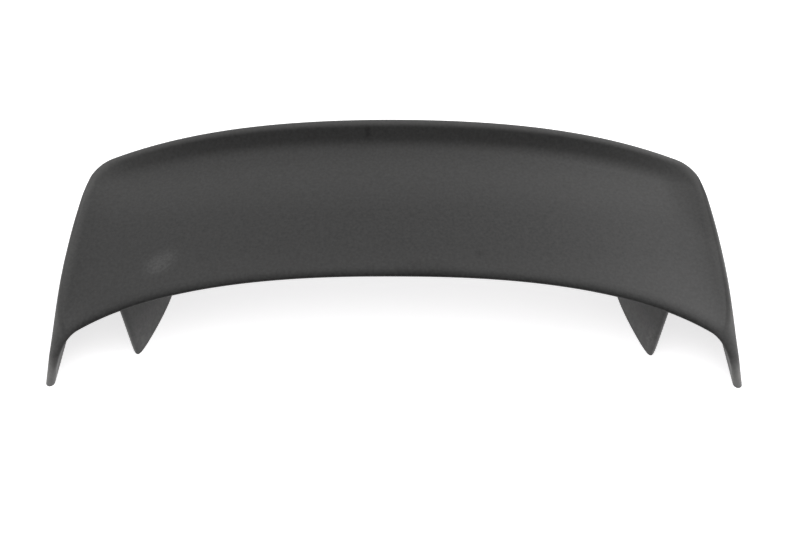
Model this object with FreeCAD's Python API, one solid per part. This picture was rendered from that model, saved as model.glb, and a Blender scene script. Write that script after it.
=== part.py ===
import FreeCAD, Part
import math
import os

# Trunk spoiler: an arched wing with a turned-up trailing lip. Its ends fold down into thin end blades, and two
# streamlined pedestals carry it between them. Wing, blades and pedestals are one moulding, with brass inserts in the feet.
# Frame: X across the car, -Y towards the leading edge, +Z up. The feet stand on Z = 0, and X = 0 is the middle plane.
# Driving dimensions follow, in millimetres and degrees.

# Width over the feet, and how far inside it the wing's curves are measured to.
half_width = 628.0
wing_inset = 40.0

# Leading edge: its place in the middle, then how far it sweeps forward and sinks towards the ends.
lead_y = -93.7
lead_z = 139.8
lead_sweep = 80.0
lead_sweep_power = 2.55
lead_arch = 33.3
lead_droop = 43.0
lead_droop_power = 6.0
lead_droop_reach = 3.0

# Trailing lip: the place of its top in the middle, its bow in plan, its arch, and the rounded rear corner.
trail_y = 237.8
trail_z = 209.0
trail_bow = 62.3
trail_bow_power = 3.9
trail_arch = 71.0
trail_end_lift = 3.0
trail_lift_power = 8.0
corner_inset = 33.5
corner_radius = 60.0
corner_fullness = 2.75

# Wing section.
nose_length = 11.0
nose_thickness = 13.0
rear_thickness = 24.0
crown = 3.0
rim_height = 12.0
rim_width = 58.0
rim_run_out = 7.0
rim_start = 0.5
lip_height = 38.0
lip_end_height = 15.0
lip_fade_power = 7.0
lip_run = 29.0
lip_fillet = 40.0
lip_least_reach = 8.0
lip_top_radius = 4.0
lip_rear_lean = 8.0
heel_radius = 8.0

# End blade: thickness at the foot, outward lean, where the fold starts before the corner, and its side outline.
blade_thickness = 16.5
blade_lean = 12.2
fold_at_nose = 27.0
fold_at_ridge = 7.0
fold_inside = 22.0
fold_nose_share = 0.10
blade_nose_rake = 1.0
blade_rear_top = 104.0
blade_rear_foot = 92.0
blade_rear_rounding = 0.36

# Pedestal: teardrop foot, its lean and growth up to the wing, and the flare where it meets the wing.
pedestal_x = 473.5
pedestal_lean = 12.0
pedestal_nose_y = -169.4
pedestal_length = 230.0
pedestal_top_length = 215.0
pedestal_half_width = 71.0
pedestal_top_half_width = 72.0
pedestal_nose_fullness = 0.275
pedestal_outer_fullness = 0.14
pedestal_setback = 9.0
pedestal_flare = 5.0
pedestal_flare_start = 0.7
trim_margin = 60.0

# Threaded insert for an M6 screw, and where the inserts sit in the feet.
insert_radius = 4.5
insert_bore_radius = 2.5
insert_length = 12.0
insert_first = 65.0
insert_pitch = 90.0
blade_insert_y = -67.9

# Span stations that the section is drawn at: 0 to 1 along the wing, 1 to 2 round the fold and down the blade.
span_stations = (0, 0.25, 0.47, 0.65, 0.78, 0.87, 0.925, 0.96, 0.983, 1,
                 1.035, 1.07, 1.11, 1.16, 1.23, 1.33, 1.46, 1.62, 1.8, 2)
patch_stations = (0.87, 0.983, 1.11, 2)
even_from = 0.96
points_per_curve = 5
points_per_sheet = 5
points_per_face = 3
pedestal_levels = (0, 0.3, 0.55, 0.75, 0.9, 1.0, 1.25)
pedestal_points = 24
sew_tolerance = 0.01

# Worked out from the sizes above.
wing_half = half_width - wing_inset
corner_start = half_width - corner_inset - corner_radius
foot_inner_x = half_width - blade_thickness
lean_slope = math.tan(math.radians(blade_lean))
blade_angle = math.radians(90.0 - blade_lean)


def ease(t):
    """Smooth step from 0 to 1."""
    t = min(max(t, 0.0), 1.0)
    return t * t * (3.0 - 2.0 * t)


def lead_edge_y(x):
    return lead_y - lead_sweep * (abs(x) / wing_half) ** lead_sweep_power


def trail_edge_y(x):
    """Lip top in plan: a bowed line that ends in a rounded corner, fuller than a quarter circle."""
    bowed = trail_y - trail_bow * (abs(x) / wing_half) ** trail_bow_power
    u = min(max((abs(x) - corner_start) / corner_radius, 0.0), 0.999)
    return bowed - corner_radius * (1.0 - (1.0 - u ** corner_fullness) ** (1.0 / corner_fullness))


def lip_rise(x):
    return lip_height + (lip_end_height - lip_height) * (abs(x) / wing_half) ** lip_fade_power


def trail_height(x):
    """Height of the lip's top: an arch, lifted a little again at its ends."""
    t = abs(x) / wing_half
    return trail_z - trail_arch * t ** 2 + trail_end_lift * t ** trail_lift_power


def rim_rise(x, share):
    """Height of the rim that carries the lip on round the corner and along the side edge."""
    across = ease((abs(x) - wing_half + rim_width) / (rim_width + rim_run_out))
    return rim_height * across * ease((share - rim_start) / (1.0 - rim_start))


def crest(x, share):
    """Height of the top sheet at a share of the chord, before its raised rim, its nose and its lip."""
    t = abs(x) / wing_half
    front = lead_z + nose_thickness / 2.0 - lead_arch * t ** 2
    rear = trail_height(x) - lip_rise(x)
    droop = lead_droop * t ** lead_droop_power * (1.0 - share) ** lead_droop_reach
    return front + (rear - front) * share + crown * math.sin(math.pi * share) ** 2 - droop


def top_height(x, share):
    return crest(x, share) + rim_rise(x, share)


def low_height(x, share):
    return crest(x, share) - nose_thickness - (rear_thickness - nose_thickness) * share


def folded(height, foot_x, inset, station, share):
    """X and Z of a sheet that runs along the wing, turns down by an arc and goes straight to its foot.

    The last two values are how much of the arc and of the straight part lie behind this station.
    """
    corner = wing_half
    for repeat in range(7):
        corner = foot_x - lean_slope * height(corner, share)
    start = corner - inset
    if station <= 1.0:
        x = station * start
        return x, height(x, share), 0.0, 0.0
    start_z = height(start, share)
    first = math.atan(height(start - 0.5, share) - height(start + 0.5, share))
    run = (foot_x - start - start_z * lean_slope) / (math.cos(first) - math.sin(first) * lean_slope)
    radius = run / math.tan((blade_angle - first) / 2.0)
    arc = radius * (blade_angle - first)
    line = (start_z - radius * (math.cos(first) - math.cos(blade_angle))) / math.sin(blade_angle)
    gone = (station - 1.0) * (arc + line)
    turn = min(gone / arc, 1.0)
    down = max(gone - arc, 0.0)
    angle = first + (blade_angle - first) * turn
    x = start + radius * (math.sin(angle) - math.sin(first)) + down * math.cos(blade_angle)
    z = start_z - radius * (math.cos(first) - math.cos(angle)) - down * math.sin(blade_angle)
    return x, z, turn, down / line


def near_nose(share):
    return math.exp(-(share / fold_nose_share) ** 1.5)


def top_sheet(station, share):
    inset = fold_at_ridge + (fold_at_nose - fold_at_ridge) * near_nose(share)
    return folded(top_height, half_width, inset, station, share)


def low_sheet(station, share):
    inset = fold_inside + (fold_at_nose - fold_inside) * near_nose(share)
    return folded(low_height, foot_inner_x, inset, station, share)


def nose_point(station):
    """X and Z halfway between the sheets at the nose."""
    top = top_sheet(station, 0.0)
    low = low_sheet(station, 0.0)
    return (top[0] + low[0]) / 2.0, (top[1] + low[1]) / 2.0


def section_ends(station):
    """Leading and trailing Y of a section."""
    x, z = nose_point(min(station, 1.0))
    rear_x = top_sheet(min(station, 1.0), 1.0)[0]
    front = lead_edge_y(x)
    rear = trail_edge_y(rear_x)
    if station > 1.0:
        front -= blade_nose_rake * (z - nose_point(station)[1])
        turn, down = top_sheet(station, 1.0)[2:]
        rear += (blade_rear_top - rear) * turn * (2.0 - turn)
        rear += (blade_rear_foot - blade_rear_top) * down
    return front, rear


def slide(station):
    """How far the middle of a section slides back, so that the lines across the skin stay even round the fold."""
    if station <= even_from:
        return 0.0
    marks = []
    for each in (even_from, station, span_stations[-1]):
        x, z = top_sheet(each, 0.5)[:2]
        marks.append((x - z, sum(section_ends(each)) / 2.0))
    (a, first), (b, here), (c, last) = marks
    return first + (last - first) * (b - a) / (c - a) - here


def steps(count):
    return [k / (count - 1.0) for k in range(count)]


def eased_steps(count):
    """Shares of a straight stretch, closer together near the curves at its ends, without the ends themselves."""
    return [(1.0 - math.cos(math.pi * k)) / 2.0 for k in steps(count + 2)[1:-1]]


def straight(start, end):
    """Points between the ends of a straight stretch."""
    return [(start[0] + k * (end[0] - start[0]), start[1] + k * (end[1] - start[1])) for k in eased_steps(points_per_face)]


def tail_outline(station, chord, thickness):
    """Lip, rear face and heel of a section: (distance behind the nose, height over the top sheet).

    The lip's face rises from the sheet through a parabola, and the lip's top and the heel are arcs.
    """
    turned = ease(top_sheet(station, 1.0)[2])
    rear_x = top_sheet(min(station, 1.0), 1.0)[0]
    rise = (lip_rise(rear_x) - rim_rise(rear_x, 1.0)) * (1.0 - turned)
    blunt = blade_rear_rounding * thickness
    top_r = lip_top_radius + (blunt - lip_top_radius) * turned
    heel_r = heel_radius + (blunt - heel_radius) * turned
    rear = math.radians(lip_rear_lean) * (1.0 - turned)
    slope = math.atan2(rise, lip_run)
    mid = (chord - top_r, rise - top_r)
    face = (mid[0] - top_r * math.sin(slope), mid[1] + top_r * math.cos(slope))
    foot = face[0] - lip_run * (face[1] / rise if rise > 0.05 else 1.0)
    reach = max(lip_fillet * math.tan(slope / 2.0), lip_least_reach)
    outline = []
    for k in steps(points_per_curve):
        ahead = reach * (k * k * math.cos(slope) - (1.0 - k) ** 2)
        outline.append((foot + ahead, reach * k * k * math.sin(slope)))
    outline += straight(outline[-1], face)
    for k in steps(points_per_curve + 2):
        angle = math.pi / 2.0 + slope - k * (math.pi / 2.0 + slope + rear)
        outline.append((mid[0] + top_r * math.cos(angle), mid[1] + top_r * math.sin(angle)))
    back = outline[-1]
    heel_x = back[0] - (back[1] + thickness) * math.tan(rear)
    reach = heel_r * math.tan((math.pi / 2.0 - rear) / 2.0)
    centre = (heel_x - reach, heel_r - thickness)
    end = (centre[0] + heel_r * math.cos(rear), centre[1] - heel_r * math.sin(rear))
    outline += straight(back, end)
    for k in steps(points_per_curve):
        angle = -rear - k * (math.pi / 2.0 - rear)
        outline.append((centre[0] + heel_r * math.cos(angle), centre[1] + heel_r * math.sin(angle)))
    return outline


def section_points(station):
    """Points round one section, from the nose over the top, down the rear and back below."""
    front, rear = section_ends(station)
    chord = rear - front
    top = top_sheet(station, 1.0)
    low = low_sheet(station, 1.0)
    thickness = math.hypot(top[0] - low[0], top[1] - low[1])
    tail = tail_outline(station, chord, thickness)
    quarter = [k * math.pi / 2.0 for k in steps(points_per_curve)]
    nose = [(nose_length * (1.0 - math.cos(a)), math.sin(a) / 2.0) for a in quarter]
    over = [(d, 0.5 - h) for d, h in nose]
    under = [(d, 0.5 + h) for d, h in reversed(nose[1:])]
    between = eased_steps(points_per_sheet)
    back = [slide(station) * math.sin(math.pi * k) ** 2 for k in between]
    upper = [(nose_length + k * (tail[0][0] - nose_length) + b, 0.0) for k, b in zip(between, back)]
    lower = [(tail[-1][0] + k * (nose_length - tail[-1][0]) + b, 1.0) for k, b in zip(between, back)]
    around = over + upper + [(d, -n / thickness) for d, n in tail] + lower + under
    points = []
    for distance, depth in around:
        share = min(distance / chord, 1.0)
        a = top_sheet(station, share)
        b = low_sheet(station, share)
        points.append(FreeCAD.Vector(a[0] + depth * (b[0] - a[0]), front + distance, a[1] + depth * (b[1] - a[1])))
    return points


def mirrored(points):
    return [FreeCAD.Vector(-p.x, p.y, p.z) for p in points]


def even_parameters(rows):
    """Parameters, the same for every row, from the geometric mean of the gaps between neighbouring points."""
    total = [0.0]
    for j in range(len(rows[0]) - 1):
        logs = [math.log(row[j].distanceToPoint(row[j + 1])) for row in rows]
        total.append(total[-1] + math.exp(sum(logs) / len(logs)))
    return [t / total[-1] for t in total]


def spline(points, parameters, closed):
    curve = Part.BSplineCurve()
    curve.interpolate(Points=points, PeriodicFlag=closed, Parameters=parameters)
    return curve


def loft(rows, row_cuts, point_cuts):
    """Solid through closed rows of points, first and last of them flat.

    Each row becomes a closed curve. The curves' poles are then joined across the rows by curves of their own, and the
    poles of those carry the skin. The skin is cut into patches at the rows and points named in the cuts.
    """
    around = even_parameters([row + row[:1] for row in rows])
    along = even_parameters(list(zip(*rows)))
    hoops = [spline(row, around, True) for row in rows]
    ribs = [spline(list(poles), along, False) for poles in zip(*[hoop.getPoles() for hoop in hoops])]
    rib = ribs[0]
    hoop = hoops[0]
    skin = Part.BSplineSurface()
    skin.buildFromPolesMultsKnots(
        [list(poles) for poles in zip(*[each.getPoles() for each in ribs])],
        rib.getMultiplicities(), hoop.getMultiplicities(), rib.getKnots(), hoop.getKnots(),
        False, True, rib.Degree, hoop.Degree)
    spans = list(zip(row_cuts, row_cuts[1:]))
    arcs = list(zip(point_cuts, point_cuts[1:]))
    faces = []
    for first, last in spans:
        for start, end in arcs:
            patch = skin.copy()
            patch.segment(along[first], along[last], around[start], around[end])
            faces.append(patch.toShape())
    for hoop in (hoops[0], hoops[-1]):
        edges = [hoop.toShape(around[start], around[end]) for start, end in arcs]
        faces.append(Part.Face(Part.Wire(edges)))
    shell = Part.Shell(faces)
    shell.sewShape()
    solid = Part.Solid(shell)
    solid.fix(sew_tolerance, sew_tolerance, sew_tolerance)
    return solid


def wing_and_blades():
    """One loft from foot to foot, across the wing."""
    right = [section_points(station) for station in span_stations]
    left = [mirrored(row) for row in reversed(right[1:])]
    middle = len(left)
    cuts = [span_stations.index(station) for station in patch_stations]
    row_cuts = [middle - cut for cut in reversed(cuts)] + [middle + cut for cut in cuts]
    return loft(left + right, row_cuts, range(len(right[0]) + 1))


def middle_height(x, y):
    """Height halfway through the wing."""
    front = lead_edge_y(x)
    share = min(max((y - front) / (trail_edge_y(x) - front), 0.0), 1.0)
    return (top_height(x, share) + low_height(x, share)) / 2.0


def pedestal_row(level, height_at):
    """Teardrop at one level, 0 on the floor and 1 at the wing's underside."""
    top_x = pedestal_x + pedestal_lean
    top_nose = lead_edge_y(top_x) + pedestal_setback
    centre = pedestal_x + pedestal_lean * level
    nose = pedestal_nose_y + (top_nose - pedestal_nose_y) * level
    length = pedestal_length + (pedestal_top_length - pedestal_length) * level
    half = pedestal_half_width + (pedestal_top_half_width - pedestal_half_width) * level
    flare = max(level - pedestal_flare_start, 0.0) / (1.0 - pedestal_flare_start)
    half += pedestal_flare * flare ** 2
    row = []
    for k in range(pedestal_points):
        angle = 2.0 * math.pi * k / pedestal_points
        along = (1.0 - math.cos(angle)) / 2.0
        fullness = pedestal_nose_fullness + (1.0 - pedestal_nose_fullness) * along
        side = math.sin(angle) + pedestal_outer_fullness * math.sin(angle) ** 2
        x = centre + half * side * fullness
        y = nose + length * along
        row.append(FreeCAD.Vector(x, y, level * height_at(x, y)))
    return row


def pedestal():
    """Streamlined leg, trimmed to the middle of the wing's thickness so that it fuses into the wing."""
    top_x = pedestal_x + pedestal_lean
    top_nose = lead_edge_y(top_x) + pedestal_setback
    tail = top_nose + pedestal_top_length
    reach = pedestal_top_half_width + 3.0 * pedestal_flare
    front_z = middle_height(top_x, top_nose)
    rise = (middle_height(top_x, tail) - front_z) / pedestal_top_length
    mid_y = (top_nose + tail) / 2.0
    fall = (middle_height(top_x + reach, mid_y) - middle_height(top_x - reach, mid_y)) / (2.0 * reach)

    def underside(x, y):
        return front_z - nose_thickness / 2.0 + rise * (y - top_nose) + fall * (x - top_x)

    rows = [pedestal_row(level, underside) for level in pedestal_levels]
    leg = loft(rows, [0, len(rows) - 1], range(pedestal_points + 1))
    grid = []
    for k in steps(7):
        x = top_x + (2.0 * k - 1.0) * 1.3 * reach
        ys = [top_nose - trim_margin + m * (pedestal_top_length + 2.0 * trim_margin) for m in steps(9)]
        grid.append([FreeCAD.Vector(x, y, middle_height(x, y)) for y in ys])
    sheet = Part.BSplineSurface()
    sheet.interpolate(grid)
    below = sheet.toShape().extrude(FreeCAD.Vector(0, 0, -2.0 * trail_z))
    return leg.common(below)


def insert_places():
    """Foot points of the inserts on the right: two under the pedestal and one under the end blade."""
    first = pedestal_nose_y + insert_first
    blade_x = (half_width + foot_inner_x - lean_slope * insert_length) / 2.0
    return [(pedestal_x, first), (pedestal_x, first + insert_pitch), (blade_x, blade_insert_y)]


def on_both_sides(shape):
    middle = FreeCAD.Vector(0, 0, 0)
    return [shape, shape.mirror(middle, FreeCAD.Vector(1, 0, 0))]


def insert_pockets():
    pockets = []
    for x, y in insert_places():
        pockets += on_both_sides(Part.makeCylinder(insert_radius, insert_length, FreeCAD.Vector(x, y, 0)))
    return pockets


def threaded_inserts():
    inserts = []
    for x, y in insert_places():
        foot = FreeCAD.Vector(x, y, 0)
        body = Part.makeCylinder(insert_radius, insert_length, foot)
        inserts += on_both_sides(body.cut(Part.makeCylinder(insert_bore_radius, insert_length, foot)))
    return Part.makeCompound(inserts)


def spoiler_body():
    body = wing_and_blades()
    body = body.fuse(on_both_sides(pedestal()))
    body = body.cut(insert_pockets())
    return body.Solids[0] if len(body.Solids) == 1 else body


os.makedirs("parts", exist_ok=True)
spoiler_body().exportStep("parts/spoiler_body.step")
threaded_inserts().exportStep("parts/threaded_inserts.step")
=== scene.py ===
# %% [markdown]
# # A trunk spoiler in matt black primer
# The object is one moulding: an arched wing with a turned-up lip along its rear edge, two end blades
# that fold down from its ends, and two streamlined pedestals under it. The packed CAD part gives its
# size and place. This lesson builds a finer skin for it from the same few sizes, gives it its primer,
# and sets up the light and the camera.

# %% Load the packed part
import bpy
import numpy as np
from mathutils import Matrix, Vector


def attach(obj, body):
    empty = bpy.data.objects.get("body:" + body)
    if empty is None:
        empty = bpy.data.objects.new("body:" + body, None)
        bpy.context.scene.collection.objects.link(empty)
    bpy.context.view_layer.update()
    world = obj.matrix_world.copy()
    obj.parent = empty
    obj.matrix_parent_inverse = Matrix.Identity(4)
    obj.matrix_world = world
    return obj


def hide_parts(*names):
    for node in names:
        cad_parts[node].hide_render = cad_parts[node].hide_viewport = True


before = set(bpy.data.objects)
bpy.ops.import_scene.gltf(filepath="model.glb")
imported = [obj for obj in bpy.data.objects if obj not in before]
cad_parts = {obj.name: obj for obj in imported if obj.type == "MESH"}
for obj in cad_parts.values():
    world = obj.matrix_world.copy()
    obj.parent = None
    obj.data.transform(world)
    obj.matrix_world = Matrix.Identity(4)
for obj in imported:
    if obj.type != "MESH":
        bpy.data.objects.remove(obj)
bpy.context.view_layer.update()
MM = 0.001

# %% [markdown]
# ## The wing's sizes
# All shapes below follow from these sizes, in millimetres. X runs across the car, the leading edge is
# at -Y, and the feet stand on Z = 0. A shape pulled about by hand has no sizes to change, so here each
# one has a name. Most are the CAD source's own. The nose, the lip's top, the rim and the folds are
# softer here by a few millimetres, as the photograph shows them, and the whole stays inside the CAD
# part's box.

# %% Sizes of the wing
HALF_WIDTH, WING_INSET = 628.0, 40.0
WING_HALF = HALF_WIDTH - WING_INSET
LEAD_Y, LEAD_Z = -93.7, 139.8
LEAD_SWEEP, LEAD_SWEEP_POWER = 80.0, 2.55
LEAD_ARCH = 33.3
LEAD_DROOP, LEAD_DROOP_POWER, LEAD_DROOP_REACH = 43.0, 6.0, 3.0
TRAIL_Y, TRAIL_Z = 237.8, 208.7
TRAIL_BOW, TRAIL_BOW_POWER = 62.3, 3.9
TRAIL_ARCH, TRAIL_END_LIFT, TRAIL_LIFT_POWER = 71.0, 3.0, 8.0
CORNER_INSET, CORNER_RADIUS, CORNER_FULLNESS = 33.5, 60.0, 2.75
CORNER_START = HALF_WIDTH - CORNER_INSET - CORNER_RADIUS
NOSE_LENGTH, BLADE_NOSE_LENGTH = 19.0, 9.0
NOSE_THICKNESS, REAR_THICKNESS, CROWN = 13.0, 24.0, 3.0
RIM_HEIGHT, RIM_WIDTH, RIM_RUN_OUT, RIM_START = 12.0, 66.0, 7.0, 0.5
LIP_HEIGHT, LIP_END_HEIGHT, LIP_FADE_POWER, LIP_RUN = 38.0, 15.0, 7.0, 29.0
LIP_FILLET, LIP_LEAST_REACH = 40.0, 8.0
LIP_TOP_RADIUS, LIP_REAR_RADIUS, HEEL_RADIUS = 6.0, 2.0, 8.0
LIP_REAR_LEAN = np.radians(8.0)
print("span %.0f mm, middle chord %.0f mm" % (2 * HALF_WIDTH, TRAIL_Y - LEAD_Y))

# %% [markdown]
# ## Lines of the wing
# A wing can be pushed and pulled from a box, but its edges then wander. Here every edge is a formula
# of X, so the leading edge, the lip and the surface between them stay fair, and both halves match. The
# functions take whole arrays. A share of the chord is 0 at the nose and 1 at the lip.

# %% Edges of the wing
CORNER_END = 0.999


def blend(start, end, t):
    """Value on the way from a start to an end: the start, plus a share of the difference."""
    return start + (end - start) * t


def ease(t):
    """Smooth step from 0 to 1: three squares less two cubes."""
    t = np.clip(t, 0.0, 1.0)
    return t * t * (3.0 - 2.0 * t)


def off_middle(x):
    """Distance from the middle plane, as a share of the wing's half span."""
    return np.abs(x) / WING_HALF


def lead_edge_y(x):
    """Leading edge in plan: a middle place, less a power of the distance from the middle."""
    return LEAD_Y - LEAD_SWEEP * off_middle(x) ** LEAD_SWEEP_POWER


def trail_edge_y(x):
    """Lip's top in plan: a bowed line, less a rounded corner that is fuller than a quarter circle.

    The corner stops just short of its end, where it would run straight forwards.
    """
    bowed = TRAIL_Y - TRAIL_BOW * off_middle(x) ** TRAIL_BOW_POWER
    u = np.clip((np.abs(x) - CORNER_START) / CORNER_RADIUS, 0.0, CORNER_END)
    return bowed - CORNER_RADIUS * (1.0 - (1.0 - u ** CORNER_FULLNESS) ** (1.0 / CORNER_FULLNESS))


print("leading edge at the middle and the end: %.0f, %.0f mm" % (lead_edge_y(0.0), lead_edge_y(WING_HALF)))

# %% Heights of the wing


def lip_rise(x):
    """Height of the lip over the wing: tall in the middle, and lower at the ends by a high power."""
    return blend(LIP_HEIGHT, LIP_END_HEIGHT, off_middle(x) ** LIP_FADE_POWER)


def trail_height(x):
    """Height of the lip's top: a parabola, lifted a little again at its ends."""
    t = off_middle(x)
    return TRAIL_Z - TRAIL_ARCH * t ** 2 + TRAIL_END_LIFT * t ** TRAIL_LIFT_POWER


def rim_rise(x, share):
    """Rim that carries the lip on round the corner and along the side: a step in X times one in Y."""
    across = ease((np.abs(x) - WING_HALF + RIM_WIDTH) / (RIM_WIDTH + RIM_RUN_OUT))
    return RIM_HEIGHT * across * ease((share - RIM_START) / (1.0 - RIM_START))


def crest(x, share):
    """Height at a share of the chord: a line from nose to lip, plus a crown, less the ends' droop."""
    t = off_middle(x)
    front = LEAD_Z + NOSE_THICKNESS / 2.0 - LEAD_ARCH * t ** 2
    rear = trail_height(x) - lip_rise(x)
    droop = LEAD_DROOP * t ** LEAD_DROOP_POWER * np.clip(1.0 - share, 0.0, 1.0) ** LEAD_DROOP_REACH
    return blend(front, rear, share) + CROWN * np.sin(np.pi * share) ** 2 - droop


def top_height(x, share):
    """Upper surface: the crest with its raised rim."""
    return crest(x, share) + rim_rise(x, share)


def low_height(x, share):
    """Underside: the crest less a thickness that grows towards the rear."""
    return crest(x, share) - blend(NOSE_THICKNESS, REAR_THICKNESS, share)


print("top at the middle, nose and rear: %.0f, %.0f mm" % (top_height(0.0, 0.0), top_height(0.0, 1.0)))

# %% [markdown]
# ## The fold into the end blades
# The wing's ends turn down into blades that stand on the boot lid. Blades made by themselves and set
# against the wing would show a joint, and the real part has none. So the wing's upper and lower
# surfaces are treated as two sheets. Each one runs along the wing, turns down by an arc and goes
# straight to the foot of the end blade. A station from 0 to 1 goes along the wing, and one from 1 to 2
# goes round the arc and down the blade, so one grid covers the wing and both blades. The blade leans
# less in the middle of its length than at its ends, so that the ridge along its top bows out.

# %% Sizes of the end blade
BLADE_THICKNESS = 16.5
BLADE_LEAN, RIDGE_BOW = np.radians(12.2), np.radians(2.2)
FOOT_INNER_X = HALF_WIDTH - BLADE_THICKNESS
FOLD_AT_NOSE, FOLD_AT_RIDGE = 27.0, 9.5
FOLD_INSIDE_NOSE, FOLD_INSIDE = 42.0, 22.0
FOLD_NOSE_SHARE, FOLD_NOSE_POWER = 0.10, 1.5
BLADE_NOSE_RAKE, BLADE_REAR_TOP, BLADE_REAR_FOOT, BLADE_REAR_ROUNDING = 0.985, 104.0, 92.0, 0.36
print("blade %.1f mm thick, leaning by %.1f degrees" % (BLADE_THICKNESS, np.degrees(BLADE_LEAN)))

# %% Sheets that fold
CORNER_PASSES, HALF_STEP, QUARTER_TURN = 7, 0.5, np.pi / 2.0


def folded(height, foot_x, inset, station, share):
    """X and Z of a sheet: the wing's line, an arc, then a straight line, each point at its share of length.

    The blade's lean is less by a parabola that is 1 halfway along the chord. The sharp corner of wing
    and blade is found by passes that come closer to it. The last two values are how much of the arc and
    of the straight part lie behind the station.
    """
    lean = BLADE_LEAN - RIDGE_BOW * 4.0 * share * (1.0 - share)
    blade, slant = QUARTER_TURN - lean, np.tan(lean)
    corner = WING_HALF
    for corner_pass in range(CORNER_PASSES):
        corner = foot_x - slant * height(corner, share)
    start = corner - inset
    flat_x = np.minimum(station, 1.0) * start
    start_z = height(start, share)
    drop = height(start - HALF_STEP, share) - height(start + HALF_STEP, share)
    first = np.arctan(drop / (2.0 * HALF_STEP))
    run = (foot_x - start - start_z * slant) / (np.cos(first) - np.sin(first) * slant)
    radius = run / np.tan((blade - first) / 2.0)
    arc = radius * (blade - first)
    line = (start_z - radius * (np.cos(first) - np.cos(blade))) / np.sin(blade)
    gone = np.maximum(station - 1.0, 0.0) * (arc + line)
    turn = np.minimum(gone / arc, 1.0)
    down = np.maximum(gone - arc, 0.0)
    angle = blend(first, blade, turn)
    x = flat_x + radius * (np.sin(angle) - np.sin(first)) + down * np.cos(blade)
    z = height(flat_x, share) - radius * (np.cos(first) - np.cos(angle)) - down * np.sin(blade)
    return x, z, turn, down / line


def near_nose(share):
    """1 at the nose, fading to 0 behind it: an exponential of a power of the share."""
    return np.exp(-(np.maximum(share, 0.0) / FOLD_NOSE_SHARE) ** FOLD_NOSE_POWER)


def top_sheet(station, share):
    """Upper sheet: its fold is wide at the nose and tight along the ridge."""
    inset = blend(FOLD_AT_RIDGE, FOLD_AT_NOSE, near_nose(share))
    return folded(top_height, HALF_WIDTH, inset, station, share)


def low_sheet(station, share):
    """Lower sheet: its fold is wider, and widest at the nose."""
    inset = blend(FOLD_INSIDE, FOLD_INSIDE_NOSE, near_nose(share))
    return folded(low_height, FOOT_INNER_X, inset, station, share)


def nose_line(station):
    """X and Z of the leading edge: halfway between the two sheets."""
    top, low = top_sheet(station, 0.0), low_sheet(station, 0.0)
    return (top[0] + low[0]) / 2.0, (top[1] + low[1]) / 2.0


def section_ends(station):
    """Leading and trailing Y: the wing's edges up to the fold, then the blade's raked nose and rear edge."""
    on_wing = np.minimum(station, 1.0)
    wing_x, wing_z = nose_line(on_wing)
    front = lead_edge_y(wing_x) - BLADE_NOSE_RAKE * (wing_z - nose_line(station)[1])
    turn, down = top_sheet(station, 1.0)[2:]
    rear = trail_edge_y(top_sheet(on_wing, 1.0)[0])
    rear = blend(rear, BLADE_REAR_TOP, turn * (2.0 - turn)) + (BLADE_REAR_FOOT - BLADE_REAR_TOP) * down
    return front, rear


front, rear = section_ends(np.array([0.0, 1.0, 2.0]))
print("chord in the middle, at the fold and at the blade's foot:", np.round(rear - front), "mm")

# %% [markdown]
# ## One section of the wing
# Seen from the side, the wing has a round nose, a nearly flat top, a lip that rises through a hollow
# curve, a small round on the lip's top, a leaning rear face and a rounded heel. A section drawn by hand
# would have to be drawn again at every place along the span. Here each stretch is a formula of its own
# share from 0 to 1, and all of them are laid end to end for every station at once.

# %% Points round the lip and the heel
FILLET_STEPS, FACE_STEPS, TOP_STEPS, EDGE_STEPS, REAR_STEPS, HEEL_STEPS = 14, 8, 12, 6, 8, 10
LEAST_RISE, LEAST_SLOPE = 0.05, 0.001


def share_row(steps, ends=True):
    """Row of shares from 0 to 1 in even steps, with or without its ends."""
    row = np.linspace(0.0, 1.0, steps + 1)[None, :]
    return row if ends else row[:, 1:-1]


def arc_points(middle_y, middle_z, radius, start, sweep, share):
    """Arc: its middle, plus the radius along an angle that goes from a start through a sweep."""
    angle = start + sweep * share
    return middle_y + radius * np.cos(angle), middle_z + radius * np.sin(angle)


def joining_line(before, after, steps):
    """Straight points from the last point of one stretch to the first of the next, without those two."""
    share = share_row(steps, ends=False)
    return tuple(blend(a[:, -1:], b[:, :1], share) for a, b in zip(before, after))


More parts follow.
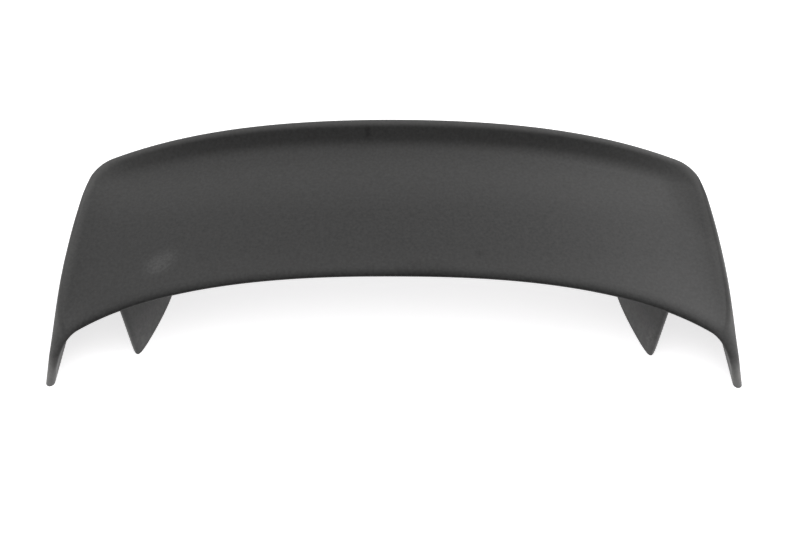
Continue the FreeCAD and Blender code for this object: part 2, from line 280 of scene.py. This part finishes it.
def tail_outline(station, chord, thickness):
    """Lip, rear face and heel as distance behind the nose and height over the top sheet.

    The hollow is a parabola between two tangents. The lip's top is a wide arc in front and a tight one
    behind, and the heel is an arc too. Round the fold the lip sinks away, and the rear turns blunt. A
    least rise and a least slope keep the formulas from dividing by zero there.
    """
    turned = ease(top_sheet(station, 1.0)[2])
    rear_x = top_sheet(np.minimum(station, 1.0), 1.0)[0]
    rise = (lip_rise(rear_x) - rim_rise(rear_x, 1.0)) * (1.0 - turned)
    blunt = BLADE_REAR_ROUNDING * thickness
    top_r, rear_r, heel_r = [blend(r, blunt, turned) for r in (LIP_TOP_RADIUS, LIP_REAR_RADIUS, HEEL_RADIUS)]
    lean = LIP_REAR_LEAN * (1.0 - turned)
    slope = np.arctan2(rise, LIP_RUN)
    face_y, face_z = chord - top_r * (1.0 + np.sin(slope)), rise - top_r * (1.0 - np.cos(slope))
    foot = face_y - LIP_RUN * np.where(rise > LEAST_RISE, face_z / np.maximum(rise, LEAST_RISE), 1.0)
    reach = np.maximum(LIP_FILLET * np.tan(slope / 2.0), LIP_LEAST_REACH)
    k = share_row(FILLET_STEPS)
    hollow = (foot + reach * (k * k * np.cos(slope) - (1.0 - k) ** 2), reach * k * k * np.sin(slope))
    half = np.tan(np.maximum(slope, LEAST_SLOPE) / 2.0)
    front_r = (top_r * (1.0 + half) - rear_r) / half
    top = arc_points(chord - rear_r, rise - front_r, front_r, QUARTER_TURN + slope, -slope,
                     share_row(TOP_STEPS))
    edge = arc_points(chord - rear_r, rise - rear_r, rear_r, QUARTER_TURN, -QUARTER_TURN - lean,
                      share_row(EDGE_STEPS)[:, 1:])
    heel_y = edge[0][:, -1:] - (edge[1][:, -1:] + thickness) * np.tan(lean)
    heel_y = heel_y - heel_r * np.tan((QUARTER_TURN - lean) / 2.0)
    heel = arc_points(heel_y, heel_r - thickness, heel_r, -lean, lean - QUARTER_TURN, share_row(HEEL_STEPS))
    stretches = [hollow, joining_line(hollow, top, FACE_STEPS), top, edge,
                 joining_line(edge, heel, REAR_STEPS), heel]
    return [np.concatenate(column, 1) for column in zip(*stretches)]


middle_tail = tail_outline(np.zeros((1, 1)), TRAIL_Y - LEAD_Y, REAR_THICKNESS)
print("points round the lip and the heel:", middle_tail[0].size)

# %% Points round a whole section
NOSE_STEPS, SHEET_STEPS = 10, 40


def section_points(station):
    """X, Y and Z of every point round the sections: nose, top, tail, underside and lower nose.

    The nose is half an ellipse. Every point lies at a distance behind the nose and at a depth between
    the two sheets, 0 on the upper one and 1 on the lower one. Along the sheets the points crowd towards
    both ends, by a cosine.
    """
    station = np.asarray(station, float)[:, None]
    front, rear = section_ends(station)
    chord = rear - front
    top, low = top_sheet(station, 1.0), low_sheet(station, 1.0)
    thickness = np.hypot(top[0] - low[0], top[1] - low[1])
    tail, height = tail_outline(station, chord, thickness)
    quarter = share_row(NOSE_STEPS) * QUARTER_TURN
    length = blend(NOSE_LENGTH, BLADE_NOSE_LENGTH, ease(top_sheet(station, 0.0)[2]))
    nose = length * (1.0 - np.cos(quarter))
    half = np.sin(quarter) / 2.0 * np.ones_like(chord)
    k = (1.0 - np.cos(np.pi * share_row(SHEET_STEPS, ends=False))) / 2.0
    over = blend(length, tail[:, :1], k)
    under = blend(tail[:, -1:], length, k)
    distance = np.concatenate([nose, over, tail, under, nose[:, :0:-1]], 1)
    depth = np.concatenate([0.5 - half, np.zeros_like(over), -height / thickness, np.ones_like(under),
                            0.5 + half[:, :0:-1]], 1)
    share = np.clip(distance / chord, 0.0, 1.0)
    top, low = top_sheet(station, share), low_sheet(station, share)
    return np.stack([blend(top[0], low[0], depth), front + distance, blend(top[1], low[1], depth)], -1)


print("points round a section:", section_points([0.0]).shape[1])

# %% [markdown]
# ## From points to a closed skin
# Outlines can be bridged one by one in Edit Mode. A grid of points does the same in one go: each point
# is joined to its neighbours in the next row and the next column. The columns run round and close on
# themselves, and the two ends are closed by flat feet. The feet are set in by a quarter of a millimetre
# inside their rims, so that the brass inserts in them show.

# %% Grids to meshes
FOOT_RECESS, FOOT_FLAT_WIDTH, FOOT_FLAT_LENGTH = 0.25, 0.95, 0.998
SHARP_ANGLE = np.radians(50.0)


def closed_faces(rows, columns, first, turned):
    """Four-sided faces of a grid whose columns close on themselves, and one face over each end row.

    Points are counted from a first number. A turned grid has its faces the other way round.
    """
    i, j = np.meshgrid(np.arange(rows - 1), np.arange(columns), indexing="ij")
    here, beside = i * columns + j, i * columns + (j + 1) % columns
    quads = np.stack([here, beside, beside + columns, here + columns], -1).reshape(-1, 4) + first
    ring = np.arange(columns) + first
    order = -1 if turned else 1
    ends = [ring[::-order], (ring + (rows - 1) * columns)[::order]]
    return quads[:, ::order].tolist() + [end.tolist() for end in ends]


def recessed_foot(rim, middle_x):
    """Copy of a foot's rim, drawn in towards a middle line and raised: the edge of the foot's flat."""
    inner = rim.copy()
    inner[:, 0] = blend(middle_x, rim[:, 0], FOOT_FLAT_WIDTH)
    inner[:, 1] = blend(rim[:, 1].mean(), rim[:, 1], FOOT_FLAT_LENGTH)
    inner[:, 2] = FOOT_RECESS
    return inner


def add_piece(name, points, faces, body="root"):
    """Mesh object from points in millimetres, smooth with sharp rims, riding on a body of the part."""
    mesh = bpy.data.meshes.new(name)
    mesh.from_pydata((points * MM).tolist(), [], faces)
    mesh.validate()
    mesh.shade_smooth()
    mesh.set_sharp_from_angle(angle=SHARP_ANGLE)
    piece = bpy.data.objects.new(name, mesh)
    bpy.context.scene.collection.objects.link(piece)
    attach(piece, body)
    return piece


print("faces of a grid of 3 by 4 points:", len(closed_faces(3, 4, 0, False)))

# %% Wing and end blades
HALF_ROWS, TURN_WEIGHT, DENSE_STATIONS = 220, 90.0, 8001
MIRROR = np.array([-1.0, 1.0, 1.0])


def even_stations(count):
    """Stations at even steps of the nose's length, the lip's length and the turn of the fold, added up."""
    dense = np.linspace(0.0, 2.0, DENSE_STATIONS)
    travel = np.zeros(DENSE_STATIONS - 1)
    for share, y in zip((0.0, 1.0), section_ends(dense)):
        x, z, turn = top_sheet(dense, share)[:3]
        travel += np.linalg.norm(np.diff([x, y, z]), axis=0) + TURN_WEIGHT * np.diff(turn)
    travelled = np.concatenate([[0.0], np.cumsum(travel)])
    return np.interp(np.linspace(0.0, travelled[-1], count + 1), travelled, dense)


half_span = section_points(even_stations(HALF_ROWS))
skin = np.concatenate([half_span[:0:-1] * MIRROR, half_span])
foot_middle = (HALF_WIDTH + FOOT_INNER_X) / 2.0
left_foot, right_foot = recessed_foot(skin[0], -foot_middle), recessed_foot(skin[-1], foot_middle)
skin = np.concatenate([left_foot[None], skin, right_foot[None]])
print("skin of %d by %d points" % skin.shape[:2])

# %% [markdown]
# ## The pedestals
# Each pedestal is a leg with a teardrop outline, pointed at the front like a blade so that it parts the
# air. It leans outwards and grows towards the wing. It could be cut from a block, but a few sizes say
# all of its shape: its rings are teardrops at rising levels, and the topmost one lies inside the wing's
# thickness, where the two are one moulding.

# %% Sizes of the pedestal
PEDESTAL_X, PEDESTAL_LEAN, PEDESTAL_OUTER_FULLNESS = 473.5, 12.0, 0.14
PEDESTAL_NOSE_Y, PEDESTAL_LENGTH, PEDESTAL_TOP_LENGTH = -169.4, 230.0, 215.0
PEDESTAL_HALF_WIDTH, PEDESTAL_TOP_HALF_WIDTH, PEDESTAL_NOSE_FULLNESS = 71.0, 72.0, 0.275
PEDESTAL_SETBACK, PEDESTAL_FLARE, PEDESTAL_FLARE_START = 9.0, 5.0, 0.7
PEDESTAL_REACH = PEDESTAL_TOP_HALF_WIDTH + 3.0 * PEDESTAL_FLARE
RING_COUNT, RING_POINTS, RING_CROWDING, TOP_LEVEL = 41, 120, 0.9, 1.12
print("pedestals %.0f mm apart" % (2.0 * PEDESTAL_X))

# %% Pedestal rings


def middle_height(x, y):
    """Height halfway through the wing: the mean of its upper and lower surfaces."""
    front = lead_edge_y(x)
    share = np.clip((y - front) / (trail_edge_y(x) - front), 0.0, 1.0)
    return (top_height(x, share) + low_height(x, share)) / 2.0


def pedestal_rings(levels, points):
    """Teardrops at rising levels: an ellipse, fuller outwards and drawn in towards the nose.

    Each ring lies on a sloping plane. That of level 1 starts at the wing's underside and has the wing's
    slope, and no point goes higher than halfway through the wing.
    """
    level = np.asarray(levels, float)[:, None]
    top_x = PEDESTAL_X + PEDESTAL_LEAN
    top_nose = lead_edge_y(top_x) + PEDESTAL_SETBACK
    top_tail = top_nose + PEDESTAL_TOP_LENGTH
    front_z = middle_height(top_x, top_nose)
    rise = (middle_height(top_x, top_tail) - front_z) / PEDESTAL_TOP_LENGTH
    sides = middle_height(top_x + PEDESTAL_REACH * np.array([-1.0, 1.0]), (top_nose + top_tail) / 2.0)
    fall = (sides[1] - sides[0]) / (2.0 * PEDESTAL_REACH)
    angle = np.linspace(0.0, 2.0 * np.pi, points, endpoint=False)[None, :]
    along = (1.0 - np.cos(angle)) / 2.0
    flare = np.maximum(level - PEDESTAL_FLARE_START, 0.0) / (1.0 - PEDESTAL_FLARE_START)
    half = blend(PEDESTAL_HALF_WIDTH, PEDESTAL_TOP_HALF_WIDTH, level) + PEDESTAL_FLARE * flare ** 2
    side = np.sin(angle) + PEDESTAL_OUTER_FULLNESS * np.sin(angle) ** 2
    x = PEDESTAL_X + PEDESTAL_LEAN * level + half * side * blend(PEDESTAL_NOSE_FULLNESS, 1.0, along)
    length = blend(PEDESTAL_LENGTH, PEDESTAL_TOP_LENGTH, level)
    y = blend(PEDESTAL_NOSE_Y, top_nose, level) + length * along
    z = level * (front_z - NOSE_THICKNESS / 2.0 + rise * (y - top_nose) + fall * (x - top_x))
    return np.stack([x, y, np.minimum(z, middle_height(x, y))], -1)


pedestal = pedestal_rings(TOP_LEVEL * np.linspace(0.0, 1.0, RING_COUNT) ** RING_CROWDING, RING_POINTS)
pedestal = np.concatenate([recessed_foot(pedestal[0], PEDESTAL_X)[None], pedestal])
print("pedestal foot %.0f mm long, %.0f mm wide" % tuple(np.ptp(pedestal[1], axis=0)[[1, 0]]))

# %% The whole moulding as one piece
points, faces = np.zeros((0, 3)), []
for grid, turned in ((skin, True), (pedestal, False), (pedestal * MIRROR, True)):
    rows, columns = grid.shape[:2]
    faces += closed_faces(rows, columns, len(points), turned)
    points = np.concatenate([points, grid.reshape(-1, 3)])
moulding = add_piece("spoiler_moulding", points, faces)
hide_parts("spoiler_body")
print("moulding: %d points, %d faces" % (len(points), len(faces)))

# %% [markdown]
# ## A small language for shader maths
# A shader graph can be drawn as a web of nodes, but it is quicker to read as an expression. This class
# wraps one output of a node, so that plus, minus, times and powers add Math nodes, and one method adds
# any other node. The short methods at its end name the nodes that this lesson uses most.

# %% Sockets that can be added and multiplied


class Value:
    """One node output. Arithmetic on it adds Math nodes to the same tree."""

    def __init__(self, tree, socket):
        self.tree = tree
        self.socket = socket

    def node(self, kind, settings=None, output=0, **inputs):
        """Adds a node: its settings, then its inputs by name or as i and a number. Gives one output."""
        made = self.tree.nodes.new(kind)
        for key, value in (settings or {}).items():
            setattr(made, key, value)
        for key, value in inputs.items():
            socket = made.inputs[int(key[1:]) if key[1:].isdigit() else key.replace("_", " ")]
            if isinstance(value, Value):
                self.tree.links.new(value.socket, socket)
            else:
                socket.default_value = value
        return Value(self.tree, made.outputs[output])

    def maths(self, operation, first, second=0.0):
        """One Math node on two numbers."""
        return self.node("ShaderNodeMath", {"operation": operation}, i0=first, i1=second)

    def __add__(self, other):
        return self.maths("ADD", self, other)

    def __radd__(self, other):
        return self.maths("ADD", other, self)

    def __sub__(self, other):
        return self.maths("SUBTRACT", self, other)

    def __rsub__(self, other):
        return self.maths("SUBTRACT", other, self)

    def __mul__(self, other):
        return self.maths("MULTIPLY", self, other)

    def __rmul__(self, other):
        return self.maths("MULTIPLY", other, self)

    def __pow__(self, power):
        return self.maths("POWER", self, power)

    def __abs__(self):
        return self.maths("ABSOLUTE", self)

    def larger(self, other):
        """The larger of two numbers."""
        return self.maths("MAXIMUM", self, other)

    def clipped(self):
        """The number, held between 0 and 1."""
        return self.maths("MINIMUM", self.larger(0.0), 1.0)

    def ramp(self, low, high):
        """0 below low, 1 above high, and a smooth step between them."""
        return self.node("ShaderNodeMapRange", {"interpolation_type": "SMOOTHSTEP"}, i0=self, i1=low, i2=high)

    def vector(self, operation, output=0, **inputs):
        """One Vector Math node. Output 0 is a vector and output 1 a number."""
        return self.node("ShaderNodeVectorMath", {"operation": operation}, output, i0=self, **inputs)

    def dot(self, direction):
        """How far a vector reaches along a direction."""
        return self.vector("DOT_PRODUCT", 1, i1=direction)

    def noise(self, scale, detail, roughness=0.5):
        """Cloudy noise between 0 and 1, at a number of clouds to the metre, with finer layers in it."""
        return self.node("ShaderNodeTexNoise", Vector=self, Scale=scale, Detail=detail, Roughness=roughness)

    def colour(self, first, second):
        """The first colour where this number is 0, the second where it is 1."""
        return self.node("ShaderNodeMix", {"data_type": "RGBA"}, output=2, i0=self, i6=first, i7=second)


def new_material(name):
    """Material with one Principled shader, and its Object coordinates as a wrapped value."""
    material = bpy.data.materials.new(name)
    material.use_nodes = True
    tree = material.node_tree
    place = tree.nodes.new("ShaderNodeTexCoord")
    return material, tree.nodes["Principled BSDF"], Value(tree, place.outputs["Object"])


def feed(shader, socket, value):
    """Links a wrapped value to one of a shader's sockets."""
    value.tree.links.new(value.socket, shader.inputs[socket])


print("shader values know:", sorted(name for name in vars(Value) if name[0] != "_"))

# %% [markdown]
# ## Matt black primer
# Primer on a moulding is nearly black, but it is never one flat grey. It goes on in passes that leave
# broad, faint clouds, it dries with a fine grain, and hands and wrapping rub small places lighter. It
# could be painted as a picture, but that blurs up close, so the tone is worked out from the place on
# the part. Noise at four sizes gives the clouds, the grain, the orange peel and the broken look of the
# marks, and soft spots at measured places give the marks that the photograph shows; the widest one is
# painted shade along the middle of the nose. Broad bands across the chord make the top a little darker
# behind the nose and lighter just ahead of the lip. The front edge is darkened with painted shade. The
# lip's top and the ridges over the blades get a painted highlight, and painted light from the table
# makes the feet and the blades' front tips paler.
# Places and reaches are in millimetres.

# %% Primer: noise
PRIMER = (0.036, 0.0355, 0.035, 1.0)
RUBBED = (0.076, 0.0755, 0.075, 1.0)
NOISE_MIDDLE, BREAKUP_RANGE = 0.5, (0.35, 0.65)
primer, primer_shader, place = new_material("primer black")
clouds = place.noise(scale=5.0, detail=3.0, roughness=0.55) - NOISE_MIDDLE
grain = place.noise(scale=180.0, detail=2.0, roughness=0.6) - NOISE_MIDDLE
peel = place.noise(scale=260.0, detail=1.0)
breakup = place.noise(scale=90.0, detail=3.0, roughness=0.6).ramp(*BREAKUP_RANGE)
print("base shade of the primer: %.1f %% grey" % (100.0 * PRIMER[1]))

# %% Primer: marks
SPOT_CORE = 0.1
RUB_PLACE, RUB_SIZE, RUB_TURN, RUB_EVENNESS = (-424.0, -54.0, 129.0), (48.0, 33.0, 40.0), 38.0, 0.85
SCUFF_PLACE, SCUFF_SIZE, SCUFF_STRENGTH = (470.0, -150.0, 28.0), (14.0, 14.0, 26.0), 0.3
# Dark spots: centre, half sizes, strength. Two are smudges; the last is painted shade on the nose.
SMUDGES_AND_SHADE = [((-53.0, 222.0, 192.0), (10.0, 19.0, 19.0), 1.0),
           ((154.0, -47.0, 147.0), (15.0, 12.0, 12.0), 0.4),
           ((60.0, -86.0, 142.0), (95.0, 26.0, 26.0), 0.45)]
# Painted light from the table on the blades' front tips: place and half sizes.
TIP_LIGHT_PLACE, TIP_LIGHT_SIZE = np.array([618.0, -226.0, 10.0]), (24.0, 42.0, 52.0)


def spot(centre, size, turn=0.0):
    """Soft mark: 1 at its centre and 0 at its rim, on an ellipse of half sizes, turned about Z."""
    moved = place.node("ShaderNodeMapping", {"vector_type": "TEXTURE"}, Vector=place,
                       Location=[c * MM for c in centre], Rotation=(0.0, 0.0, np.radians(turn)),
                       Scale=[s * MM for s in size])
    return 1.0 - moved.vector("LENGTH", 1).ramp(SPOT_CORE, 1.0)


rub = spot(RUB_PLACE, RUB_SIZE, RUB_TURN) * blend(RUB_EVENNESS, 1.0, breakup)
scuff = spot(SCUFF_PLACE, SCUFF_SIZE) * breakup
lighten = (rub + SCUFF_STRENGTH * scuff).clipped()
# Dark spots: two smudges, and painted shade along the middle of the nose.
smudge_and_shade = sum(strength * spot(centre, size) for centre, size, strength in SMUDGES_AND_SHADE).clipped()
# Painted light on the front tips of both blades.
painted_tip_light = (spot(TIP_LIGHT_PLACE, TIP_LIGHT_SIZE) + spot(TIP_LIGHT_PLACE * MIRROR, TIP_LIGHT_SIZE)).clipped()
print("smudges:", len(SMUDGES_AND_SHADE))

# %% Primer: bands and edges
# Tone bands across the chord: change of tone, then the Y where it starts and where it is complete.
TONE_BANDS = [(0.32, 45.0, 140.0), (-0.32, 195.0, 225.0), (-0.12, -80.0, -20.0), (0.12, 30.0, 80.0)]
# Painted shade darkens the nose. It fades behind the nose line, below it, and out along the span.
NOSE_SHADE_DEPTH, NOSE_SHADE_HEIGHT, NOSE_SHADE_END = (2.0, 14.0), (-13.0, -8.0), (0.94, 1.0)
# Painted highlight on the lip's top and on the ridges over the blades: where it starts and ends.
LIP_HIGHLIGHT = (-10.0, -1.0)
RIDGE_HIGHLIGHT_X, RIDGE_HIGHLIGHT_Z, RIDGE_SLOPE = (HALF_WIDTH - 22.0, HALF_WIDTH + 2.0), (92.0, 106.0), 0.2
# Painted light from the table, paler towards the feet: its height and how even it is.
FOOT_LIGHT_HEIGHT, FOOT_LIGHT_EVENNESS = 80.0, 0.7
in_mm = place.vector("SCALE", Scale=1.0 / MM)
along, upward = in_mm.dot((0.0, 1.0, 0.0)), in_mm.dot((0.0, 0.0, 1.0))
span = abs(in_mm.dot((1.0 / WING_HALF, 0.0, 0.0)))
square = (span * span).clipped()
bands = sum(change * along.ramp(start, end) for change, start, end in TONE_BANDS)
nose_y = LEAD_Y - LEAD_SWEEP * span ** LEAD_SWEEP_POWER
nose_z = LEAD_Z - LEAD_ARCH * square - LEAD_DROOP * span ** LEAD_DROOP_POWER
# Painted shade along the nose, fading behind it, below it and out towards the blades.
painted_nose_shade = (1.0 - (along - nose_y).ramp(*NOSE_SHADE_DEPTH)) * (upward - nose_z).ramp(*NOSE_SHADE_HEIGHT)
painted_nose_shade = painted_nose_shade * (1.0 - span.ramp(*NOSE_SHADE_END))
# Painted highlight along the lip's top and along the ridges over the blades.
lip_top = TRAIL_Z - TRAIL_ARCH * square + TRAIL_END_LIFT * square ** (TRAIL_LIFT_POWER / 2.0)
outward = in_mm.vector("ABSOLUTE").dot((1.0, 0.0, np.tan(BLADE_LEAN)))
ridge = outward.ramp(*RIDGE_HIGHLIGHT_X) * in_mm.dot((0.0, -RIDGE_SLOPE, 1.0)).ramp(*RIDGE_HIGHLIGHT_Z)
painted_edge_highlight = ((upward - lip_top).ramp(*LIP_HIGHLIGHT) + ridge).clipped()
# Painted light from the table: the primer is paler towards the feet.
painted_foot_light = (1.0 - upward.ramp(0.0, FOOT_LIGHT_HEIGHT)) * blend(FOOT_LIGHT_EVENNESS, 1.0, breakup)
print("spray bands:", len(TONE_BANDS))

# %% Primer: tone and gloss
NOSE_SHADE_STRENGTH, SMUDGE_AND_SHADE_DARK, CLOUD_TONE, GRAIN_TONE = 0.6, 0.6, 0.16, 1.1
FOOT_LIGHT_STRENGTH, TIP_LIGHT_STRENGTH, EDGE_HIGHLIGHT_STRENGTH = 2.2, 1.7, 1.2
PRIMER_ROUGHNESS, CLOUD_ROUGHNESS, RUB_ROUGHNESS = 0.5, 0.1, 0.08
PEEL_STRENGTH, PEEL_DEPTH = 0.06, 0.4
# Painted shade darkens the nose.
tone = 1.0 + bands - NOSE_SHADE_STRENGTH * painted_nose_shade + CLOUD_TONE * clouds + GRAIN_TONE * grain - SMUDGE_AND_SHADE_DARK * smudge_and_shade
# Painted light on the feet and the blades' tips, and a painted highlight on the lip and ridges.
tone = tone + FOOT_LIGHT_STRENGTH * (painted_foot_light + TIP_LIGHT_STRENGTH * painted_tip_light) + EDGE_HIGHLIGHT_STRENGTH * painted_edge_highlight
feed(primer_shader, "Base Color", lighten.colour(PRIMER, RUBBED).vector("SCALE", Scale=tone))
feed(primer_shader, "Roughness", PRIMER_ROUGHNESS + CLOUD_ROUGHNESS * clouds + RUB_ROUGHNESS * rub)
feed(primer_shader, "Normal",
     place.node("ShaderNodeBump", Strength=PEEL_STRENGTH, Distance=PEEL_DEPTH * MM, Height=peel))
moulding.data.materials.append(primer)
print("primer nodes:", len(primer.node_tree.nodes))

# %% [markdown]
# ## Brass inserts
# Six threaded inserts sit flush in the feet, for the screws that come up through the boot lid. They are
# small and could be modelled again, but the CAD solids already have their shape. They stay as they are
# and only get turned brass, whose tint and gloss are a little uneven.

# %% Brass
BRASS_DULL, BRASS_BRIGHT = (0.50, 0.36, 0.15, 1.0), (0.66, 0.50, 0.24, 1.0)
BRASS_ROUGHNESS, WEAR_ROUGHNESS = 0.28, 0.2
brass, brass_shader, place = new_material("turned brass")
brass_shader.inputs["Metallic"].default_value = 1.0
wear = place.noise(scale=500.0, detail=2.0)
feed(brass_shader, "Base Color", wear.colour(BRASS_DULL, BRASS_BRIGHT))
feed(brass_shader, "Roughness", BRASS_ROUGHNESS + WEAR_ROUGHNESS * wear)
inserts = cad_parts["threaded_inserts"]
inserts.data.materials.clear()
inserts.data.materials.append(brass)
print("brass nodes:", len(brass.node_tree.nodes))

# %% [markdown]
# ## Floor
# The part stands on a white table top, a plain white plane. The photograph shows the table brighter
# than the lamps make it, and stronger lamps would wash out the part. So the table also gets a glow of
# its own for the rays that look at it: those of the camera, of mirror-like reflections and of glass.
# Scattered light doesn't see the glow, so the part keeps its shadow on the table.

# %% White table
TABLE_WHITE, TABLE_ROUGHNESS, TABLE_SHEEN = (0.86, 0.855, 0.86, 1.0), 0.9, 0.1
TABLE_GLOW, GLOW_TINT = 0.74, (1.0, 0.995, 1.0, 1.0)
TABLE_HALF_SIZE = 60.0


def seen_rays(tree):
    """1 for rays from the camera, from reflections and through glass, and 0 for all others."""
    path = tree.nodes.new("ShaderNodeLightPath")
    camera, glossy, glass = [Value(tree, path.outputs[name]) for name in
                             ("Is Camera Ray", "Is Glossy Ray", "Is Transmission Ray")]
    return camera.larger(glossy).larger(glass)


corners = TABLE_HALF_SIZE * np.array([(-1, -1, 0), (1, -1, 0), (1, 1, 0), (-1, 1, 0)])
table_mesh = bpy.data.meshes.new("table top")
table_mesh.from_pydata(corners.tolist(), [], [(0, 1, 2, 3)])
table_top = bpy.data.objects.new("table_top", table_mesh)
bpy.context.scene.collection.objects.link(table_top)
table, table_shader, place = new_material("white table")
table_shader.inputs["Base Color"].default_value = TABLE_WHITE
table_shader.inputs["Roughness"].default_value = TABLE_ROUGHNESS
table_shader.inputs["Specular IOR Level"].default_value = TABLE_SHEEN
tree = table.node_tree
glow = place.node("ShaderNodeEmission", Color=GLOW_TINT, Strength=TABLE_GLOW * seen_rays(tree))
both = place.node("ShaderNodeAddShader", i0=Value(tree, table_shader.outputs[0]), i1=glow)
feed(tree.nodes["Material Output"], "Surface", both)
table_mesh.materials.append(table)
print("table nodes:", len(tree.nodes))

# %% [markdown]
# ## Light
# The photograph has soft light from both sides, stronger on the right, and a pale room above and behind
# the part. The camera's side is darker. That is why the side edges look lightest, the top looks grey and
# the lip's front face looks almost black. Two low lamps light the blades and the edges, and two more
# stand farther back. A picture of a room could light the scene too, but a formula is easier to tune: the
# room is a world that brightens towards a place overhead, with a pale backdrop behind the part and a thin
# pale band all round the horizon.

# %% Lamps
LAMP_TARGET = (0.0, 0.0, 0.1)
# Lamps: place, size and power.
LAMPS = {"low lamp on the left": ((-2.5, -0.4, 0.9), (1.4, 1.2), 8.0),
         "low lamp on the right": ((2.5, 0.0, 0.9), (1.4, 1.2), 14.0),
         "soft lamp on the left": ((-2.2, 1.1, 1.7), (1.8, 1.6), 1.0),
         "soft lamp on the right": ((2.3, 1.2, 1.8), (1.8, 1.6), 17.0)}


def soft_lamp(name, location, size, power):
    """Oblong area lamp at a place, turned towards the part. Metres and watts."""
    data = bpy.data.lights.new(name, "AREA")
    data.shape = "RECTANGLE"
    data.size, data.size_y = size
    data.energy = power
    lamp = bpy.data.objects.new(name, data)
    turn = (Vector(location) - Vector(LAMP_TARGET)).to_track_quat("Z", "Y").to_matrix().to_4x4()
    lamp.matrix_world = Matrix.Translation(location) @ turn
    bpy.context.scene.collection.objects.link(lamp)


for name, (location, size, power) in LAMPS.items():
    soft_lamp(name, location, size, power)
print("lamps: %d, with %.0f W in all" % (len(LAMPS), sum(lamp[2] for lamp in LAMPS.values())))

# %% Room
ROOM_LEAST, ROOM_COLOUR = 0.015, (1.0, 1.0, 1.0, 1.0)
BRIGHT_SIDE, OVERHEAD_LIGHT, OVERHEAD_FADE = (0.0, 0.28, 0.96), 0.9, (0.2, 0.97)
BACKDROP_LIGHT, BACKDROP_TOP, BACKDROP_SIDE, HORIZON_TOP = 0.95, (0.05, 0.45), (-0.5, 0.2), (0.04, 0.08)
REAR_LIGHT, REAR_FADE = 0.15, (0.45, 0.65)
SIDE_LIGHT, SIDE_FADE = 0.08, (0.15, 0.75)
world = bpy.data.worlds.new("pale room")
bpy.context.scene.world = world
world.use_nodes = True
tree = world.node_tree
towards = Value(tree, tree.nodes.new("ShaderNodeTexCoord").outputs["Generated"])
rearward, upward = towards.dot((0.0, 1.0, 0.0)), towards.dot((0.0, 0.0, 1.0))
aside = towards.vector("ABSOLUTE").dot((1.0, 0.0, 0.0))
backdrop = (1.0 - upward.ramp(*BACKDROP_TOP)) * rearward.ramp(*BACKDROP_SIDE)
backdrop = backdrop.larger(1.0 - upward.ramp(*HORIZON_TOP))
room = ROOM_LEAST + OVERHEAD_LIGHT * towards.dot(BRIGHT_SIDE).ramp(*OVERHEAD_FADE) + BACKDROP_LIGHT * backdrop
room = room + REAR_LIGHT * rearward.ramp(*REAR_FADE) + SIDE_LIGHT * aside.ramp(*SIDE_FADE)
feed(tree.nodes["Background"], "Strength", room)
tree.nodes["Background"].inputs["Color"].default_value = ROOM_COLOUR
print("world nodes:", len(tree.nodes))

# %% [markdown]
# ## Camera
# The picture was taken from in front of the leading edge and well above it. A camera placed by eye would
# be near enough to show the part, but not to lay one picture over the other. So its place, its downward
# tilt and a trace of roll come from fitting the part's outline to the photograph, for an image of 800 by
# 533 pixels.

# %% Camera
IMAGE_WIDTH, FOCAL_PIXELS, SENSOR_WIDTH = 800.0, 900.0, 36.0
CAMERA_PLACE = np.array([10.3, -1063.9, 1410.0]) * MM
CAMERA_PITCH, CAMERA_ROLL = np.radians(52.0), np.radians(0.14)
ahead = np.array([0.0, np.cos(CAMERA_PITCH), -np.sin(CAMERA_PITCH)])
level_down = np.array([0.0, -np.sin(CAMERA_PITCH), -np.cos(CAMERA_PITCH)])
sideways = np.cos(CAMERA_ROLL) * np.array([1.0, 0.0, 0.0]) - np.sin(CAMERA_ROLL) * level_down
up = np.cross(-ahead, sideways)
camera_data = bpy.data.cameras.new("camera")
camera_data.sensor_width = SENSOR_WIDTH
camera_data.lens = FOCAL_PIXELS / IMAGE_WIDTH * SENSOR_WIDTH
camera = bpy.data.objects.new("camera", camera_data)
pose = np.eye(4)
pose[:3, :] = np.stack([sideways, up, -ahead, CAMERA_PLACE], 1)
camera.matrix_world = Matrix(pose.tolist())
bpy.context.scene.collection.objects.link(camera)
bpy.context.scene.camera = camera
bpy.context.scene.view_settings.view_transform = "Standard"
print("lens %.1f mm" % camera_data.lens)
